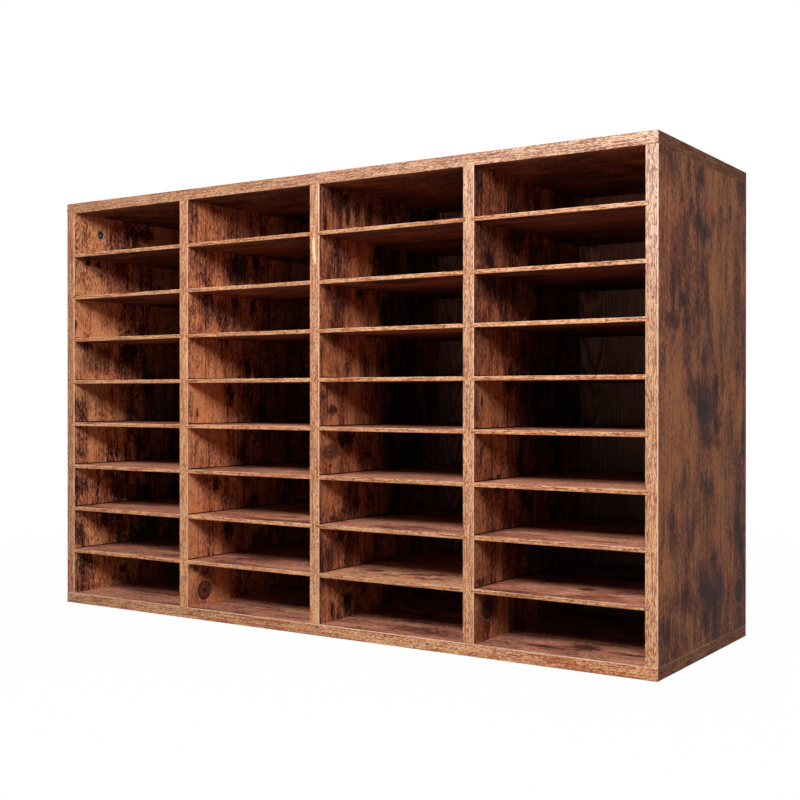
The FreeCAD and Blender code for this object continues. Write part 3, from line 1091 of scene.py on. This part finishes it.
def pale_floor(studio):
    """A round white floor that keeps the sorter's shadow and fades into the surroundings."""
    sides, radius, drop = 64, 9.0, 0.3 * MM
    turns = [2 * math.pi * step / sides for step in range(sides)]
    corners = [(radius * math.cos(turn), radius * math.sin(turn), -drop) for turn in turns]
    mesh = bpy.data.meshes.new("floor")
    mesh.from_pydata(corners, [], [tuple(range(sides))])
    floor = bpy.data.objects.new("floor", mesh)
    bpy.context.scene.collection.objects.link(floor)
    material, place = new_material("pale_floor")
    dust = noise(place, (3, 3, 3), 0.0, detail=2)
    shades = [(studio.floor_tone * share,) * 3 for share in (0.97, 1.0)]
    finish_material(material, mix(dust, *shades), 0.9, dust, 0.0001, sheen=0.0)
    lit = Wire(material.node_tree.nodes["Principled BSDF"].outputs[0])
    share = place.length().fade(0.7, 2.0).between(studio.floor_lift, 1.0)
    white = place.node("ShaderNodeEmission", None, {"Color": (1, 1, 1, 1), "Strength": 1.0})
    pale = place.node("ShaderNodeBsdfDiffuse", None, {"Color": (0.9, 0.9, 0.9, 1)})
    shown = place.node("ShaderNodeMixShader", None, {0: share, 1: pale, 2: white})
    above = place.node("ShaderNodeMixShader", None, {0: backdrop_rays(place), 1: lit, 2: shown})
    under = place.node("ShaderNodeNewGeometry", output="Backfacing")
    clear = place.node("ShaderNodeBsdfTransparent")
    both = place.node("ShaderNodeMixShader", None, {0: under, 1: above, 2: clear})
    fill_sockets(material.node_tree.nodes["Material Output"], {"Surface": both})
    mesh.materials.append(material)


def place_camera(studio):
    """The camera, to the right of the sorter and at half its height."""
    camera = bpy.data.objects.new("camera", bpy.data.cameras.new("camera"))
    bpy.context.scene.collection.objects.link(camera)
    camera.data.sensor_width = 36.0
    camera.data.lens = studio.camera_lens
    camera.location = studio.camera_place
    level = math.pi / 2
    camera.rotation_euler = (level + studio.camera_tilt, studio.camera_roll, studio.camera_pan)
    bpy.context.scene.camera = camera


class SORTER_OT_stage(bpy.types.Operator):
    """Set up the camera, the lamps, the white surroundings and the pale floor"""

    bl_idname = "sorter.build_stage"
    bl_label = "Build Stage"

    def execute(self, context):
        studio = context.scene.sorter_studio
        context.scene.view_settings.view_transform = "Standard"
        place_camera(studio)
        white_surroundings(studio)
        soft_lamp("key_lamp", (0.62, -1.46, 1.16), (1.3, 0.64), studio.key_power)
        glint = soft_lamp("glint_lamp", (-0.15, -1.46, 0.95), (0.7, 0.5), studio.glint_power)
        glint.visible_diffuse = False
        side = soft_lamp("side_lamp", (-0.75, -1.46, 1.17), (0.8, 0.5), studio.side_power)
        side.visible_glossy = False
        rear = soft_lamp("rear_lamp", (-0.2, 1.5, 1.1), (0.8, 0.6), studio.rear_power, turn=math.pi)
        rear.visible_glossy = False
        pale_floor(studio)
        return {"FINISHED"}


class SORTER_PT_panel(bpy.types.Panel):
    """The sorter's operators and settings."""

    bl_idname = "SORTER_PT_panel"
    bl_label = "Mail Sorter"
    bl_space_type = "VIEW_3D"
    bl_region_type = "UI"
    bl_category = "Sorter"

    def draw(self, context):
        for step in STEPS:
            self.layout.operator(step.bl_idname)
        for group in SETTINGS:
            box = self.layout.box()
            for field in SETTINGS[group].__annotations__:
                box.prop(getattr(context.scene, group), field)


SETTINGS = {
    "sorter_laminate": LaminateSettings,
    "sorter_bands": BandSettings,
    "sorter_backs": BackSettings,
    "sorter_fittings": FittingSettings,
    "sorter_studio": StudioSettings,
}

STEPS = [
    SORTER_OT_stage,
    SORTER_OT_uprights,
    SORTER_OT_panels,
    SORTER_OT_shelves,
    SORTER_OT_bands,
    SORTER_OT_backs,
    SORTER_OT_fittings,
]


def register():
    """Registers the settings, the operators and the panel."""
    for group, settings in SETTINGS.items():
        bpy.utils.register_class(settings)
        setattr(bpy.types.Scene, group, PointerProperty(type=settings))
    for step in STEPS:
        bpy.utils.register_class(step)
    bpy.utils.register_class(SORTER_PT_panel)


def unregister():
    """Takes them away again."""
    bpy.utils.unregister_class(SORTER_PT_panel)
    for step in reversed(STEPS):
        bpy.utils.unregister_class(step)
    for group, settings in SETTINGS.items():
        delattr(bpy.types.Scene, group)
        bpy.utils.unregister_class(settings)


def main():
    """Dresses the whole sorter."""
    register()
    for step in STEPS:
        family, verb = step.bl_idname.split(".")
        getattr(getattr(bpy.ops, family), verb)()


if __name__ == "__main__":
    main()
